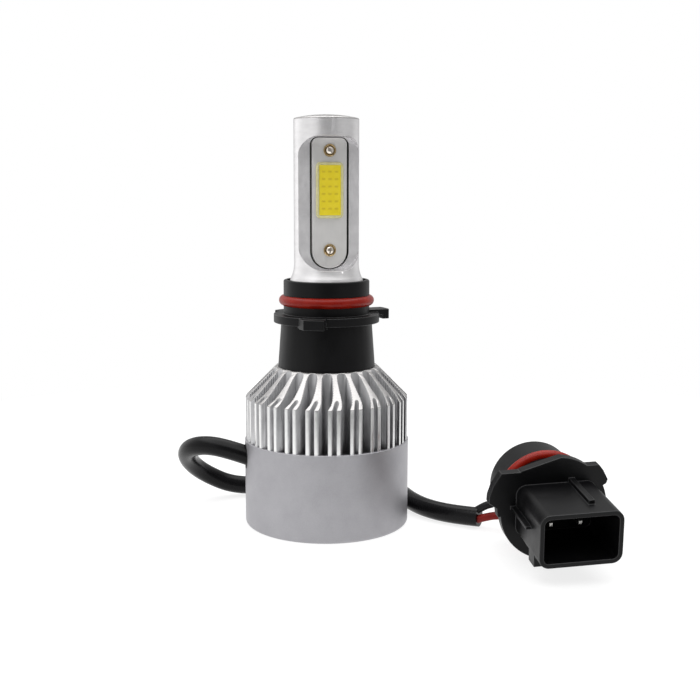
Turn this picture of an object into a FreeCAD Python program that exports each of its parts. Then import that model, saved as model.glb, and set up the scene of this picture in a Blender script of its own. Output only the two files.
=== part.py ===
import FreeCAD, Part
import math
import os

# LED headlight bulb: lamp post, collar, finned heat sink, fan and driver, and a cable to its plug.
# Millimetres. The lamp's axis is +Z, the origin is the centre of the fan housing's bottom face,
# and the front LED board faces -Y, turned by POST_TURN towards +X.

V = FreeCAD.Vector
UP = V(0, 0, 1)
ORIGIN = V(0, 0, 0)

# Lamp post
POST_R = 6.95
POST_TOP = 87.2
POST_CROWN = 0.8
POST_BOTTOM = 26.0
POST_TURN = 10.0
POCKET_FLOOR = 2.3
POCKET_BOTTOM = 55.4
POCKET_TOP = 83.4
GROOVE_DEPTH = 0.7
GROOVE_WIDTH = 8.4
GROOVE_SHIFT = 0.12
WIRE_HOLE_R = 1.35

# LED boards
BOARD_WIDTH = 7.4
BOARD_THICK = 1.5
BOARD_BOTTOM = 55.9
BOARD_TOP = 83.1
BOARD_BACK = POCKET_FLOOR - GROOVE_DEPTH
BOARD_FACE = BOARD_BACK + BOARD_THICK
DAM_WIDTH = 5.9
DAM_HEIGHT = 11.7
PHOSPHOR_WIDTH = 4.75
LED_CENTRE_Z = 72.25
LED_SCREW_Z = (59.7, 80.5)
LED_SCREW_HEAD_R = 1.35
LED_SCREW_SHANK_R = 0.75

# Collar with its flange and seal
SPIGOT_R = 9.25
COLLAR_TOP = 53.3
COLLAR_BOTTOM = 32.6
COLLAR_RECESS_FLOOR = 51.8
SEAL_SECTION_R = 1.1
SEAL_RING_R = 9.15
SEAL_Z = 48.9
FLANGE_R = 11.4
FLANGE_BOTTOM = 44.2
FLANGE_TOP = 46.0
LUG_R = 13.6
LUG_WIDTH = 4.6
LUG_BOTTOM = 43.75
LUG_THICK = 2.15
FRONT_LUG_ANGLE = -104.0
HOOKED_LUG_ANGLE = 19.0
REAR_LUG_ANGLE = 136.0
HOOK_R = 14.1
HOOK_START_R = 12.35
HOOK_RISE = 0.7
HOOK_DROP = 0.9
COLLAR_FOOT_R = 10.5

# Heat sink
CORE_R = 11.1
CORE_BOTTOM = 13.4
CORE_TOP = 34.6
CAVITY_R = 9.6
CAVITY_TOP = 24.0
FIN_COUNT = 24
FIN_R = 17.66
FIN_BOTTOM = 15.2
FIN_SHOULDER = 28.0
FORK_R = 16.3
FORK_SLOT = 1.0
FIN_SWEEP = 3.2
FIN_START = -84.6

# Fan housing band and guard
BAND_R = 17.9
BAND_BORE_R = 17.0
BAND_TOP = 18.7
FIT_GAP = 0.05
GUARD_THICK = 1.2
GUARD_SCREW_R = 15.65
GUARD_SCREW_COUNT = 3

# Fan
FRAME_BOTTOM = GUARD_THICK
FRAME_TOP = 10.2
FRAME_BORE_R = 14.4
HUB_PLATE_R = 6.9
HUB_PLATE_THICK = 1.0
STRUT_COUNT = 3
STRUT_WIDTH = 1.6
BEARING_TUBE_R = 2.2
BEARING_R = 1.6
SHAFT_R = 0.77
SHAFT_CLEARANCE = 0.03
ROTOR_BOTTOM = 1.9
ROTOR_TOP = 8.1
ROTOR_HUB_R = 7.0
ROTOR_CUP_R = 6.5
YOKE_R = 6.0
MAGNET_R = 5.3
BLADE_COUNT = 7
BLADE_TIP_R = 14.0
BLADE_THICK = 0.7
POLE_COUNT = 4
STATOR_R = 4.9
STATOR_BOTTOM = 4.6
STATOR_TOP = 6.4

# Driver board and its parts
DRIVER_R = 10.4
DRIVER_THICK = 1.2
DRIVER_BOTTOM = CORE_BOTTOM - DRIVER_THICK
DRIVER_SCREW_X = 7.9

# Cable and its inner wires
CABLE_R = 2.08
CABLE_ROUTE = [
    (-16.4, -2.1, 14.8), (-21.2, -1.5, 16.4), (-26.0, 0.2, 17.1), (-29.9, 3.6, 15.9),
    (-31.6, 8.4, 13.1), (-30.5, 13.4, 9.3), (-27.2, 17.0, 5.8), (-21.7, 18.9, 2.8),
    (-14.2, 20.4, 2.1), (-5.2, 22.6, 2.1), (4.0, 22.4, 2.1), (12.2, 18.9, 2.1),
    (17.9, 12.6, 2.1), (19.6, 4.9, 2.1), (22.8, -1.4, 2.1), (28.0, -5.9, 2.1),
    (32.6, -8.8, 2.4),
]
GROMMET_R = 2.75
WIRE_R = 0.85
BLACK_WIRE_ROUTE = [
    (31.7, -8.2, 3.4), (33.6, -9.0, 5.0), (35.9, -9.4, 5.6), (38.2, -9.2, 7.2),
    (39.3, -9.2, 9.8), (39.6, -10.9, 12.6), (39.9, -16.4, 13.3),
]
RED_WIRE_ROUTE = [
    (31.4, -8.85, 1.7), (34.4, -10.1, 3.0), (37.2, -11.5, 3.5), (40.4, -10.6, 4.8),
    (42.9, -9.4, 7.6), (43.6, -10.0, 11.2), (43.8, -16.4, 12.8),
]

# Plug: its own +Z points out of the mouth, +X to the right and +Y up
PLUG_CENTRE = V(42.82, -29.87, 10.8)
PLUG_YAW = -85.6
PLUG_PITCH = -6.8
PLUG_ROLL = 2.2
PLUG_BARREL_R = 8.71
PLUG_BARREL_END = -14.1
PLUG_FLANGE_R = 10.74
PLUG_FLANGE_HALF = 0.95
SHROUD_WIDTH = 15.96
SHROUD_HEIGHT = 10.5
SHROUD_WALL = 0.9
SHROUD_LENGTH = 15.4
SHROUD_SHIFT = (0.36, 0.23)
SOCKET_FLOOR = 1.4
TERMINAL_PITCH = 5.8
TERMINAL_SIDE = 1.1
TERMINAL_HEIGHT = -0.4
TERMINAL_TIP = 6.8
PLUG_SEAL_Z = -5.2
PLUG_SEAL_R = 1.05
PLUG_SEAL_RING_R = 8.85
REAR_SEAL_DEPTH = 2.2


def disc(radius, low, high, x=0.0, y=0.0):
    return Part.makeCylinder(radius, high - low, V(x, y, low))


def ring(inner, outer, low, high):
    return disc(outer, low, high).cut(disc(inner, low - 1, high + 1))


def block(low, high):
    size = [b - a for a, b in zip(low, high)]
    return Part.makeBox(*size, V(*low))


def turned(shape, degrees):
    copy = shape.copy()
    copy.rotate(ORIGIN, UP, degrees)
    return copy


def around(shape, count, start=0.0):
    return [turned(shape, start + 360.0 * i / count) for i in range(count)]


def closed_face(points):
    return Part.Face(Part.makePolygon(points + [points[0]]))


def lathe(outline):
    # A solid of revolution about Z from (radius, height) corners.
    face = closed_face([V(r, 0, z) for r, z in outline])
    return face.revolve(ORIGIN, UP, 360)


def round_edges(shape, radius, wanted):
    edges = [edge for edge in shape.Edges if wanted(edge)]
    return shape.makeFillet(radius, edges)


def is_circle(edge, radius, height):
    if edge.Degenerated or not isinstance(edge.Curve, Part.Circle):
        return False
    return abs(edge.Curve.Radius - radius) < 1e-4 and abs(edge.CenterOfMass.z - height) < 1e-4


def rounded_slab(width, low, high, near, far, top_r, bottom_r):
    # A plate standing in the XZ plane between y = near and y = far, with rounded corners.
    slab = block((-width / 2, near, low), (width / 2, far, high))
    across = [e for e in slab.Edges if abs(e.tangentAt(e.FirstParameter).y) > 0.9]
    middle = (low + high) / 2
    slab = slab.makeFillet(top_r, [e for e in across if e.CenterOfMass.z > middle])
    across = [e for e in slab.Edges if isinstance(e.Curve, (Part.Line, Part.LineSegment))]
    across = [e for e in across if abs(e.tangentAt(e.FirstParameter).y) > 0.9]
    corners = [e for e in across if abs(e.CenterOfMass.z - low) < 1e-4]
    return slab.makeFillet(bottom_r, corners)


def bend_at(before, corner, after):
    # The arc that rounds a corner of a route: its ends, its middle point and its radius.
    to_corner = (corner - before)
    onward = (after - corner)
    reach = 0.45 * min(to_corner.Length, onward.Length)
    turn = to_corner.getAngle(onward)
    radius = reach / math.tan(turn / 2)
    start = corner - V(to_corner).normalize() * reach
    end = corner + V(onward).normalize() * reach
    inward = ((start + end) * 0.5 - corner).normalize()
    middle = corner + inward * (radius / math.cos(turn / 2) - radius)
    return start, middle, end, radius


def tube(route, radius, label):
    points = [V(*p) for p in route]
    edges = []
    radii = []
    here = points[0]
    for before, corner, after in zip(points, points[1:], points[2:]):
        start, middle, end, bend = bend_at(before, corner, after)
        edges.append(Part.LineSegment(here, start).toShape())
        edges.append(Part.Arc(start, middle, end).toShape())
        radii.append(bend)
        here = end
    edges.append(Part.LineSegment(here, points[-1]).toShape())
    path = Part.Wire(edges)
    section = Part.Wire(Part.makeCircle(radius, points[0], points[1] - points[0]))
    solid = path.makePipeShell([section], True, False)
    ideal = math.pi * radius**2 * path.Length
    print(label, "length %.1f, smallest bend %.1f" % (path.Length, min(radii)))
    print("   bends", " ".join("%.1f" % r for r in radii))
    print("   volume against section times length: %.4f" % (solid.Volume / ideal))
    return solid


def lamp_post():
    apex = POST_TOP + POST_CROWN
    crown_r = (POST_R**2 + POST_CROWN**2) / (2 * POST_CROWN)
    shoulder = apex - crown_r + math.sqrt(crown_r**2 - POST_R**2 / 4)
    flare = [
        Part.LineSegment(V(0, 0, POST_BOTTOM), V(POST_R, 0, POST_BOTTOM)),
        Part.LineSegment(V(POST_R, 0, POST_BOTTOM), V(POST_R, 0, COLLAR_RECESS_FLOOR)),
        Part.LineSegment(V(POST_R, 0, COLLAR_RECESS_FLOOR), V(8.0, 0, COLLAR_RECESS_FLOOR)),
        Part.LineSegment(V(8.0, 0, COLLAR_RECESS_FLOOR), V(7.8, 0, 53.4)),
        Part.Arc(V(7.8, 0, 53.4), V(7.2, 0, 54.9), V(POST_R, 0, 57.2)),
        Part.LineSegment(V(POST_R, 0, 57.2), V(POST_R, 0, POST_TOP)),
        Part.Arc(V(POST_R, 0, POST_TOP), V(POST_R / 2, 0, shoulder), V(0, 0, apex)),
        Part.LineSegment(V(0, 0, apex), V(0, 0, POST_BOTTOM)),
    ]
    face = Part.Face(Part.Wire([part.toShape() for part in flare]))
    post = face.revolve(ORIGIN, UP, 360)
    post = round_edges(post, 0.35, lambda e: is_circle(e, POST_R, POST_TOP))
    pocket_width = 2 * math.sqrt(POST_R**2 - POCKET_FLOOR**2)
    pocket = rounded_slab(pocket_width, POCKET_BOTTOM, POCKET_TOP, -12, -POCKET_FLOOR, 3.8, 4.9)
    low = BOARD_BOTTOM - 0.25
    high = BOARD_TOP + 0.15
    groove = rounded_slab(GROOVE_WIDTH, low, high, -12, -BOARD_BACK, 1.7, 3.9)
    groove.translate(V(GROOVE_SHIFT, 0, 0))
    outlet = block((-1.2, -BOARD_BACK - 0.1, 56.6), (1.2, 0, 58.3))
    cutter = Part.makeCompound([pocket, groove, outlet])
    for side in (cutter, turned(cutter, 180)):
        for tool in side.Solids:
            post = post.cut(tool)
    for height in LED_SCREW_Z:
        hole = Part.makeCylinder(LED_SCREW_SHANK_R, 8, V(0, -4, height), V(0, 1, 0))
        post = post.cut(hole)
    post = post.cut(disc(WIRE_HOLE_R, POST_BOTTOM - 1, 58.3))
    return turned(post, POST_TURN)


def board_blank():
    board = rounded_slab(
        BOARD_WIDTH, BOARD_BOTTOM, BOARD_TOP, -BOARD_FACE, -BOARD_BACK, 1.3, 3.6
    )
    for height in LED_SCREW_Z:
        hole = Part.makeCylinder(LED_SCREW_SHANK_R, 8, V(0, -6, height), V(0, 1, 0))
        board = board.cut(hole)
    return board


def led_dam():
    low = LED_CENTRE_Z - DAM_HEIGHT / 2
    high = LED_CENTRE_Z + DAM_HEIGHT / 2
    near = -BOARD_FACE - 0.5
    dam = rounded_slab(DAM_WIDTH, low, high, near, -BOARD_FACE, 0.7, 0.7)
    rim = (DAM_WIDTH - PHOSPHOR_WIDTH) / 2
    window = rounded_slab(
        PHOSPHOR_WIDTH, low + rim, high - rim, near - 1, -BOARD_FACE + 1, 0.3, 0.3
    )
    return dam.cut(window)


def led_phosphor():
    rim = (DAM_WIDTH - PHOSPHOR_WIDTH) / 2
    low = LED_CENTRE_Z - DAM_HEIGHT / 2 + rim
    high = LED_CENTRE_Z + DAM_HEIGHT / 2 - rim
    return rounded_slab(
        PHOSPHOR_WIDTH, low, high, -BOARD_FACE - 0.4, -BOARD_FACE, 0.3, 0.3
    )


def led_board_screws():
    shank = Part.makeCylinder(LED_SCREW_SHANK_R, BOARD_FACE - 0.2, V(0, -BOARD_FACE, 0), V(0, 1, 0))
    head = Part.makeCylinder(LED_SCREW_HEAD_R, 0.7, V(0, -BOARD_FACE - 0.7, 0), V(0, 1, 0))
    head = round_edges(head, 0.3, lambda e: e.CenterOfMass.y < -BOARD_FACE - 0.6)
    slot = block((-2, -BOARD_FACE - 1, -0.18), (2, -BOARD_FACE - 0.4, 0.18))
    screw = shank.fuse(head.cut(slot)).removeSplitter()
    placed = []
    for height in LED_SCREW_Z:
        copy = screw.copy()
        copy.translate(V(0, 0, height))
        placed += [turned(copy, POST_TURN), turned(copy, POST_TURN + 180)]
    return Part.makeCompound(placed)


def lamp_lead_wires(x, name):
    # One wire to each board: up the drilled post, then out to the back of the board.
    wires = []
    for side in (1, -1):
        route = [
            (x, -0.6, CORE_BOTTOM), (x, -0.6, 36.0), (x, -0.62, 57.4), (x, -BOARD_BACK, 57.4)
        ]
        wire = tube(route, 0.4, name)
        wires.append(turned(wire, POST_TURN if side == 1 else POST_TURN + 180))
    return Part.makeCompound(wires)


def is_lug_corner(edge):
    upright = abs(edge.tangentAt(edge.FirstParameter).z) > 0.9
    return upright and edge.CenterOfMass.x > FLANGE_R


def straight_lug(reach, low):
    half = LUG_WIDTH / 2
    lug = block((8.7, -half, low), (reach, half, low + LUG_THICK)).common(disc(reach, 40, 50))
    return round_edges(lug, 0.4, is_lug_corner)


def hooked_lug():
    # The tip hangs below a thinner arm.
    low = LUG_BOTTOM + HOOK_RISE
    gap = block((8, -LUG_WIDTH, low - 1), (HOOK_START_R, LUG_WIDTH, low + HOOK_DROP))
    return straight_lug(HOOK_R, low).cut(gap)


def front_lug():
    # One side leans out to a wide foot.
    corners = [(8.7, -4.4), (11.3, -3.6), (LUG_R - 0.2, -2.15), (LUG_R - 0.1, 2.15), (8.7, 2.0)]
    outline = closed_face([V(x, y, LUG_BOTTOM) for x, y in corners])
    lug = outline.extrude(V(0, 0, LUG_THICK))
    return round_edges(lug, 0.3, lambda e: is_lug_corner(e) and e.CenterOfMass.x > 12)


def collar():
    outline = [
        (POST_R, COLLAR_BOTTOM), (COLLAR_FOOT_R - 0.3, COLLAR_BOTTOM),
        (COLLAR_FOOT_R, COLLAR_BOTTOM + 0.3), (COLLAR_FOOT_R, CORE_TOP + 0.1),
        (9.8, FLANGE_BOTTOM), (FLANGE_R, FLANGE_BOTTOM), (FLANGE_R, FLANGE_TOP),
        (SPIGOT_R, FLANGE_TOP), (SPIGOT_R, 47.8), (8.05, 47.8), (8.05, 50.0), (SPIGOT_R, 50.0),
        (SPIGOT_R, COLLAR_TOP), (8.45, COLLAR_TOP), (8.45, COLLAR_RECESS_FLOOR),
        (POST_R, COLLAR_RECESS_FLOOR),
    ]
    body = lathe(outline)
    body = round_edges(body, 0.4, lambda e: is_circle(e, SPIGOT_R, COLLAR_TOP))
    body = body.fuse(turned(front_lug(), FRONT_LUG_ANGLE))
    body = body.fuse(turned(hooked_lug(), HOOKED_LUG_ANGLE))
    body = body.fuse(turned(straight_lug(LUG_R, LUG_BOTTOM), REAR_LUG_ANGLE))
    return body.removeSplitter()


def seal_ring(ring_r, section_r, height):
    return Part.makeTorus(ring_r, section_r, V(0, 0, height), UP)


def swept_point(radius, offset):
    # A point of a fin's plan outline, along +X before its sweep, which grows towards the tip.
    along = (radius - CORE_R) / (FIN_R - CORE_R)
    angle = -math.radians(FIN_SWEEP) * along**6
    return V(
        radius * math.cos(angle) - offset * math.sin(angle),
        radius * math.sin(angle) + offset * math.cos(angle),
        0,
    )


def fin():
    tip = FIN_R + 0.6
    side = [
        (10.75, 1.2), (11.15, 0.95), (11.7, 0.62), (12.4, 0.5), (14.2, 0.66), (15.7, 0.92),
        (16.6, 1.12), (17.3, 1.28), (tip, 1.42),
    ]
    fork = [
        (tip, FORK_SLOT / 2), (17.3, FORK_SLOT / 2), (FORK_R, FORK_SLOT / 2 - 0.05),
        (FORK_R - 0.35, 0.25),
    ]
    half = side + fork
    outline = half + [(r, -t) for r, t in reversed(half)]
    face = closed_face([swept_point(r, t) for r, t in outline])
    return face.extrude(V(0, 0, CORE_TOP + 2))


def fin_envelope():
    step = BAND_BORE_R - FIT_GAP
    return lathe([
        (10.6, FIN_BOTTOM), (step, FIN_BOTTOM), (step, BAND_TOP), (FIN_R, BAND_TOP),
        (FIN_R, FIN_SHOULDER), (CORE_R, CORE_TOP - 0.05), (10.6, CORE_TOP - 0.05),
    ])


def heat_sink():
    core = disc(CORE_R, CORE_BOTTOM, CORE_TOP)
    core = core.cut(disc(CAVITY_R, CORE_BOTTOM - 1, CAVITY_TOP))
    core = core.cut(disc(COLLAR_FOOT_R, COLLAR_BOTTOM, CORE_TOP + 1))
    core = core.cut(disc(POST_R, POST_BOTTOM, CORE_TOP + 1))
    core = core.cut(disc(2.0, CAVITY_TOP - 1, POST_BOTTOM + 1))
    for x in (-DRIVER_SCREW_X, DRIVER_SCREW_X):
        boss = disc(1.9, CORE_BOTTOM, CAVITY_TOP, x, 0).common(disc(CAVITY_R + 0.4, 0, 40))
        core = core.fuse(boss).cut(disc(0.6, CORE_BOTTOM - 1, CORE_BOTTOM + 5, x, 0))
    blade = fin().common(fin_envelope())
    fins = around(blade, FIN_COUNT, FIN_START)
    sink = core.multiFuse(fins)
    entry = cable_passage(GROMMET_R + 0.6, 12)
    return sink.cut(entry.cut(disc(CORE_R + 0.2, 0, 40))).removeSplitter()


def cable_passage(radius, inward):
    # A straight cylinder along the cable where it crosses the band.
    start = V(*CABLE_ROUTE[0])
    along = (V(*CABLE_ROUTE[1]) - start).normalize()
    return Part.makeCylinder(radius, inward + 6, start - along * inward, along)


def fan_housing_band():
    band = ring(BAND_BORE_R, BAND_R, 0, BAND_TOP)
    band = round_edges(band, 0.7, lambda e: is_circle(e, BAND_R, 0))
    band = round_edges(band, 0.2, lambda e: is_circle(e, BAND_R, BAND_TOP))
    return band.cut(cable_passage(GROMMET_R, 2))


def cable_grommet():
    start = V(*CABLE_ROUTE[0])
    along = (V(*CABLE_ROUTE[1]) - start).normalize()
    bush = Part.makeCylinder(GROMMET_R, 4.0, start - along * 0.6, along)
    bush = bush.common(disc(BAND_R, 0, 40))
    bore = Part.makeCylinder(CABLE_R, 8.0, start - along * 2, along)
    return bush.cut(bore)


def guard_screw_places():
    step = 360.0 / GUARD_SCREW_COUNT
    places = []
    for number in range(GUARD_SCREW_COUNT):
        angle = math.radians(90 + step * number)
        places.append((GUARD_SCREW_R * math.cos(angle), GUARD_SCREW_R * math.sin(angle)))
    return places


def fan_guard():
    rim = ring(FRAME_BORE_R - 0.2, BAND_BORE_R - FIT_GAP, 0, GUARD_THICK)
    pieces = [ring(11.0, 11.9, 0, GUARD_THICK), ring(7.8, 8.7, 0, GUARD_THICK)]
    pieces.append(disc(4.6, 0, GUARD_THICK))
    spoke = block((3, -0.8, 0), (FRAME_BORE_R + 0.5, 0.8, GUARD_THICK))
    pieces += around(spoke, 6, 30)
    guard = rim.multiFuse(pieces).removeSplitter()
    for x, y in guard_screw_places():
        guard = guard.cut(disc(0.75, -1, 3, x, y))
        guard = guard.cut(Part.makeCone(1.25, 0.75, 0.6, V(x, y, 0)))
    return guard


def guard_screws():
    screws = []
    for x, y in guard_screw_places():
        screw = disc(0.7, 0.3, 6.0, x, y).fuse(Part.makeCone(1.2, 0.7, 0.55, V(x, y, 0.02)))
        drive = [block((x - 0.7, y - 0.14, -1), (x + 0.7, y + 0.14, 0.35))]
        drive.append(block((x - 0.14, y - 0.7, -1), (x + 0.14, y + 0.7, 0.35)))
        screws.append(screw.cut(drive[0]).cut(drive[1]))
    return Part.makeCompound(screws)


def fan_frame():
    plate_low = FRAME_TOP - HUB_PLATE_THICK
    frame = ring(FRAME_BORE_R, BAND_BORE_R - FIT_GAP, FRAME_BOTTOM, FRAME_TOP)
    strut = block((5, -STRUT_WIDTH / 2, plate_low), (FRAME_BORE_R + 0.5, STRUT_WIDTH / 2, FRAME_TOP))
    pieces = [disc(HUB_PLATE_R, plate_low, FRAME_TOP)] + around(strut, STRUT_COUNT, 30)
    pieces.append(disc(BEARING_TUBE_R, 3.7, plate_low))
    frame = frame.multiFuse(pieces).cut(disc(BEARING_R, 3.0, plate_low)).removeSplitter()
    for x, y in guard_screw_places():
        frame = frame.cut(disc(0.7, 0, 6.1, x, y))
    return frame


def fan_bearing():
    return ring(SHAFT_R + SHAFT_CLEARANCE, BEARING_R, 3.8, 8.5)


def fan_shaft():
    shaft = disc(SHAFT_R, ROTOR_BOTTOM + 0.3, 9.0)
    return shaft.cut(ring(SHAFT_R - 0.17, SHAFT_R + 1, 8.6, 8.8))


def shaft_clip():
    return ring(SHAFT_R - 0.17, 1.3, 8.6, 8.8)


def fan_blade():
    # A flat blade tilted about its radial line, trimmed to the hub and the tip circle.
    mid = (ROTOR_BOTTOM + ROTOR_TOP) / 2 + 0.2
    blade = block((6.7, -BLADE_THICK / 2, -3.6), (BLADE_TIP_R + 1, BLADE_THICK / 2, 3.6))
    blade.rotate(ORIGIN, V(1, 0, 0), 42)
    blade.translate(V(0, 0, mid))
    room = ring(ROTOR_HUB_R - 0.2, BLADE_TIP_R, ROTOR_BOTTOM + 0.2, ROTOR_TOP)
    return blade.common(room)


def fan_rotor():
    cup = disc(ROTOR_HUB_R, ROTOR_BOTTOM, ROTOR_TOP).cut(disc(ROTOR_CUP_R, 2.7, ROTOR_TOP + 1))
    cup = cup.cut(disc(SHAFT_R, ROTOR_BOTTOM + 0.3, 5))
    cup = round_edges(cup, 0.3, lambda e: is_circle(e, ROTOR_HUB_R, ROTOR_BOTTOM))
    return cup.multiFuse(around(fan_blade(), BLADE_COUNT)).removeSplitter()


def stator_core():
    hub = ring(BEARING_TUBE_R, 2.9, STATOR_BOTTOM, STATOR_TOP)
    neck = block((2.6, -0.5, STATOR_BOTTOM), (4.6, 0.5, STATOR_TOP))
    shoe = ring(4.2, STATOR_R, STATOR_BOTTOM, STATOR_TOP)
    shoe = shoe.common(block((0, -2.6, 0), (6, 2.6, 10)))
    pieces = around(neck, POLE_COUNT, 45) + around(shoe, POLE_COUNT, 45)
    return hub.multiFuse(pieces).removeSplitter()


def stator_coils():
    coil = block((3.0, -1.2, STATOR_BOTTOM - 0.6), (3.95, 1.2, STATOR_TOP + 0.6))
    coil = coil.cut(block((2, -0.5, STATOR_BOTTOM), (5, 0.5, STATOR_TOP)))
    return Part.makeCompound(around(coil, POLE_COUNT, 45))


def fan_circuit_board():
    plate_low = FRAME_TOP - HUB_PLATE_THICK
    return ring(BEARING_TUBE_R, 6.2, plate_low - 0.7, plate_low)


def fan_leads():
    leads = []
    for x in (-1.0, 1.0):
        route = [(x, 6.0, 8.8), (x, 7.7, 8.8), (x, 8.3, 10.4), (x, 8.2, DRIVER_BOTTOM)]
        leads.append(tube(route, 0.3, "fan lead").cut(fan_circuit_board()).cut(driver_board()))
    return Part.makeCompound(leads)


def driver_board():
    board = disc(DRIVER_R, DRIVER_BOTTOM, CORE_BOTTOM)
    for x in (-DRIVER_SCREW_X, DRIVER_SCREW_X):
        board = board.cut(disc(0.6, 0, 20, x, 0))
    return board


def driver_board_screws():
    screws = []
    for x in (-DRIVER_SCREW_X, DRIVER_SCREW_X):
        shank = disc(0.55, DRIVER_BOTTOM - 0.2, CORE_BOTTOM + 4, x, 0)
        head = disc(1.2, DRIVER_BOTTOM - 0.8, DRIVER_BOTTOM, x, 0)
        slot = block((x - 2, -0.15, 0), (x + 2, 0.15, DRIVER_BOTTOM - 0.4))
        screws.append(shank.fuse(head).cut(slot).removeSplitter())
    return Part.makeCompound(screws)


def on_driver(radius, height, x, y, lift=0.0):
    return disc(radius, CORE_BOTTOM + lift, CORE_BOTTOM + lift + height, x, y)


def inductor_core():
    drum = on_driver(2.9, 4.2, 2.6, -4.6)
    waist = on_driver(4, 2.6, 2.6, -4.6, 0.8).cut(on_driver(1.5, 4, 2.6, -4.6))
    return drum.cut(waist)


def inductor_coil():
    return on_driver(2.6, 2.6, 2.6, -4.6, 0.8).cut(on_driver(1.5, 4, 2.6, -4.6))


def capacitors():
    return Part.makeCompound([on_driver(2.0, 5.6, x, 5.2) for x in (-2.6, 2.6)])


def controller_chip():
    return block((-5.4, -4.4, CORE_BOTTOM), (-1.6, -1.4, CORE_BOTTOM + 1.3))


def chip_resistors():
    shapes = []
    for number in range(4):
        x = -5.0 + 1.2 * number
        shapes.append(block((x, -6.6, CORE_BOTTOM), (x + 0.7, -5.3, CORE_BOTTOM + 0.5)))
    return Part.makeCompound(shapes)


def supply_lead(y, name):
    # From the cable's end inside the band, down and under the driver board.
    start = V(*CABLE_ROUTE[0])
    route = [
        (start.x - 0.4, start.y + y, start.z), (-14.6, -2.0 + y, 13.7), (-12.8, -1.9 + y, 12.0),
        (-10.9, -1.8 + y, 11.3), (-9.6, -1.8 + y, DRIVER_BOTTOM + 0.4),
    ]
    return tube(route, 0.5, name).cut(cable_sheath()).cut(driver_board())


def plug_placement():
    yaw = math.radians(PLUG_YAW)
    pitch = math.radians(PLUG_PITCH)
    out = V(math.cos(pitch) * math.cos(yaw), math.cos(pitch) * math.sin(yaw), math.sin(pitch))
    right = UP.cross(out).normalize()
    rolled = FreeCAD.Rotation(out, PLUG_ROLL).multVec(right)
    turn = FreeCAD.Rotation(rolled, out.cross(rolled), out, "ZXY")
    return FreeCAD.Placement(PLUG_CENTRE, turn)


def in_place(shape):
    placed = shape.copy()
    placed.Placement = plug_placement().multiply(placed.Placement)
    return placed


def upright_block(width, height, low, high, corner):
    # A block along Z whose four long edges are rounded.
    shape = block((-width / 2, -height / 2, low), (width / 2, height / 2, high))
    long_edges = [e for e in shape.Edges if abs(e.tangentAt(e.FirstParameter).z) > 0.9]
    return shape.makeFillet(corner, long_edges)


def plug_lug(corners):
    # A flange lug from the corners of its outline.
    outline = closed_face([V(x, y, -PLUG_FLANGE_HALF) for x, y in corners])
    return outline.extrude(V(0, 0, 2 * PLUG_FLANGE_HALF))


def plug_housing():
    barrel = disc(PLUG_BARREL_R, PLUG_BARREL_END, 0)
    barrel = round_edges(barrel, 0.5, lambda e: is_circle(e, PLUG_BARREL_R, PLUG_BARREL_END))
    flange = disc(PLUG_FLANGE_R, -PLUG_FLANGE_HALF, PLUG_FLANGE_HALF)
    flat = turned(block((9.95, -8, -5), (14, 8, 5)), 106)
    flange = flange.cut(flat)
    shroud = upright_block(SHROUD_WIDTH, SHROUD_HEIGHT, 0, SHROUD_LENGTH, 2.0)
    top = SHROUD_HEIGHT / 2
    side = SHROUD_WIDTH / 2
    top_rib = block((2.4, top - 0.3, 0), (3.6, top + 0.85, 11.8))
    side_rib = block((-side - 1.1, 0.5, 0), (-side + 0.3, 1.1, 10.4))
    catch = block((-7.9, -top - 1.1, 9.0), (6.6, -top + 2.1, 12.2))
    for shape in (shroud, top_rib, side_rib, catch):
        shape.translate(V(*SHROUD_SHIFT, 0))
    right_lug = plug_lug([
        (5.0, 8.6), (8.9, 8.6), (9.8, 7.4), (10.8, 5.4), (10.5, 4.6), (9.4, 3.9), (5.0, 2.0),
    ])
    left_lug = plug_lug([
        (-5.0, -0.8), (-11.3, -0.8), (-11.5, 1.0), (-13.1, 2.2), (-13.0, 3.6), (-12.3, 5.7),
        (-10.7, 8.2), (-6.5, 8.2),
    ])
    body = barrel.multiFuse([flange, right_lug, left_lug, shroud, top_rib, side_rib, catch])
    inner = upright_block(
        SHROUD_WIDTH - 2 * SHROUD_WALL, SHROUD_HEIGHT - 2 * SHROUD_WALL, SOCKET_FLOOR, 30, 1.1
    )
    inner.translate(V(*SHROUD_SHIFT, 0))
    body = body.cut(inner)
    low = PLUG_SEAL_Z - PLUG_SEAL_R
    high = PLUG_SEAL_Z + PLUG_SEAL_R
    body = body.cut(ring(PLUG_SEAL_RING_R - PLUG_SEAL_R, 12, low, high))
    body = body.cut(disc(PLUG_BARREL_R - 1.2, PLUG_BARREL_END - 1, PLUG_BARREL_END + REAR_SEAL_DEPTH))
    for x in terminal_places():
        body = body.cut(terminal_block(x))
    return in_place(body.removeSplitter())


def terminal_places():
    return [SHROUD_SHIFT[0] + side * TERMINAL_PITCH / 2 for side in (-1, 1)]


def terminal_block(x):
    half = TERMINAL_SIDE / 2
    low = PLUG_BARREL_END + REAR_SEAL_DEPTH
    near = (x - half, TERMINAL_HEIGHT - half, low)
    far = (x + half, TERMINAL_HEIGHT + half, TERMINAL_TIP)
    return block(near, far)


def plug_terminals():
    pins = []
    for x in terminal_places():
        pin = terminal_block(x)
        tip = [e for e in pin.Edges if abs(e.CenterOfMass.z - TERMINAL_TIP) < 1e-4]
        pins.append(in_place(pin.makeChamfer(0.25, tip)))
    return Part.makeCompound(pins)


def plug_rear_seal():
    return in_place(disc(PLUG_BARREL_R - 1.2, PLUG_BARREL_END, PLUG_BARREL_END + REAR_SEAL_DEPTH))


def cable_sheath():
    return tube(CABLE_ROUTE, CABLE_R, "cable")


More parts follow.
